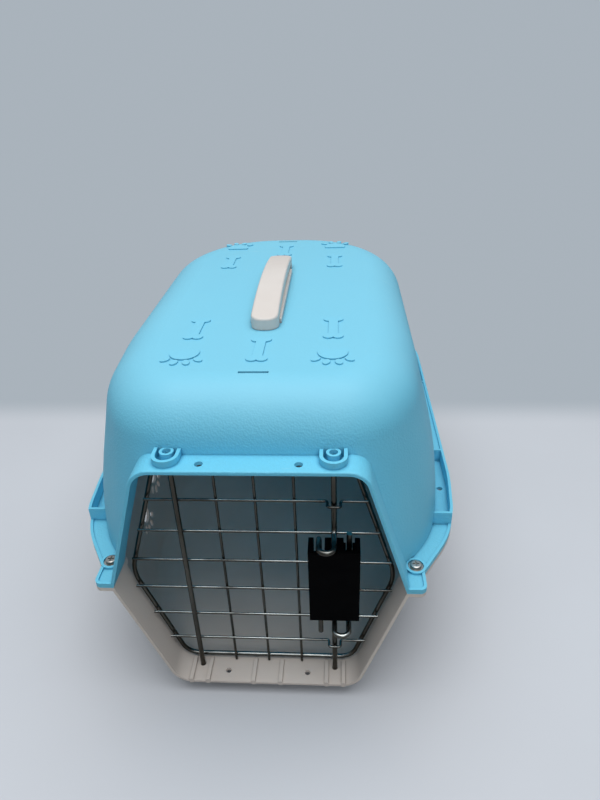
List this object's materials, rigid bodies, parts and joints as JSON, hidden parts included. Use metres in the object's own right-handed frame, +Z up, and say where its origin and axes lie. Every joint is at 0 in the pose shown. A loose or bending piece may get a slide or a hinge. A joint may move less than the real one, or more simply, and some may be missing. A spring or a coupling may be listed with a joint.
{
  "type": "pet carrier",
  "caption": "Two-piece moulded plastic pet carrier with a hinged wire door, a squeeze latch with sprung rods and a lift-up handle.",
  "frame": {"origin": "centre of the object's box, on the surface that the feet stand on", "axes": "+Z up, -Y out of the wire door, +X to the right of someone who looks at the door"},
  "size_m": [0.336, 0.4982, 0.311],
  "materials": {
    "blue_plastic": "finely pebbled moulded polypropylene, light blue",
    "cream_plastic": "moulded polypropylene, pale cream grey",
    "handle_plastic": "smooth moulded plastic, pale cream",
    "door_wire": "bright plated steel wire",
    "spring_steel": "drawn spring wire",
    "latch_plastic": "black moulded plastic",
    "bolt_steel": "zinc plated steel"
  },
  "bodies": {
    "root": {"top_shell": "blue_plastic", "bottom_shell": "cream_plastic", "shell_bolts": "bolt_steel", "bolt_washers": "bolt_steel", "shell_nuts": "bolt_steel", "handle_base": "handle_plastic"},
    "handle": {"handle_grip": "handle_plastic", "handle_retainers": "handle_plastic", "handle_screws": "bolt_steel"},
    "door": {"door_ring": "door_wire", "door_crosswires": "door_wire", "door_uprights": "door_wire", "hinge_rod": "door_wire", "latch_housing": "latch_plastic", "latch_back": "latch_plastic", "latch_screws": "bolt_steel", "upper_spring": "spring_steel", "lower_spring": "spring_steel"},
    "upper_latch": {"upper_latch_rod": "door_wire", "upper_collar": "door_wire"},
    "lower_latch": {"lower_latch_rod": "door_wire", "lower_collar": "door_wire"}
  },
  "joints": [
    {"name": "door_swing", "type": "hinge", "parent": "root", "child": "door", "pos_m": [-0.06, -0.22348, 0.124], "axis": [0, 0, -1], "range_deg": [0, 115]},
    {"name": "upper_latch_slide", "type": "slide", "parent": "door", "child": "upper_latch", "axis": [0, 0, -1], "range_m": [0, 0.0055], "stiffness_N_per_m": 250, "springref_m": -0.012, "deforming": ["upper_spring"]},
    {"name": "lower_latch_slide", "type": "slide", "parent": "door", "child": "lower_latch", "axis": [0, 0, 1], "range_m": [0, 0.0055], "stiffness_N_per_m": 250, "springref_m": -0.012, "deforming": ["lower_spring"]},
    {"name": "handle_lift", "type": "slide", "parent": "root", "child": "handle", "axis": [0, 0, 1], "range_m": [0, 0.02]}
  ]
}
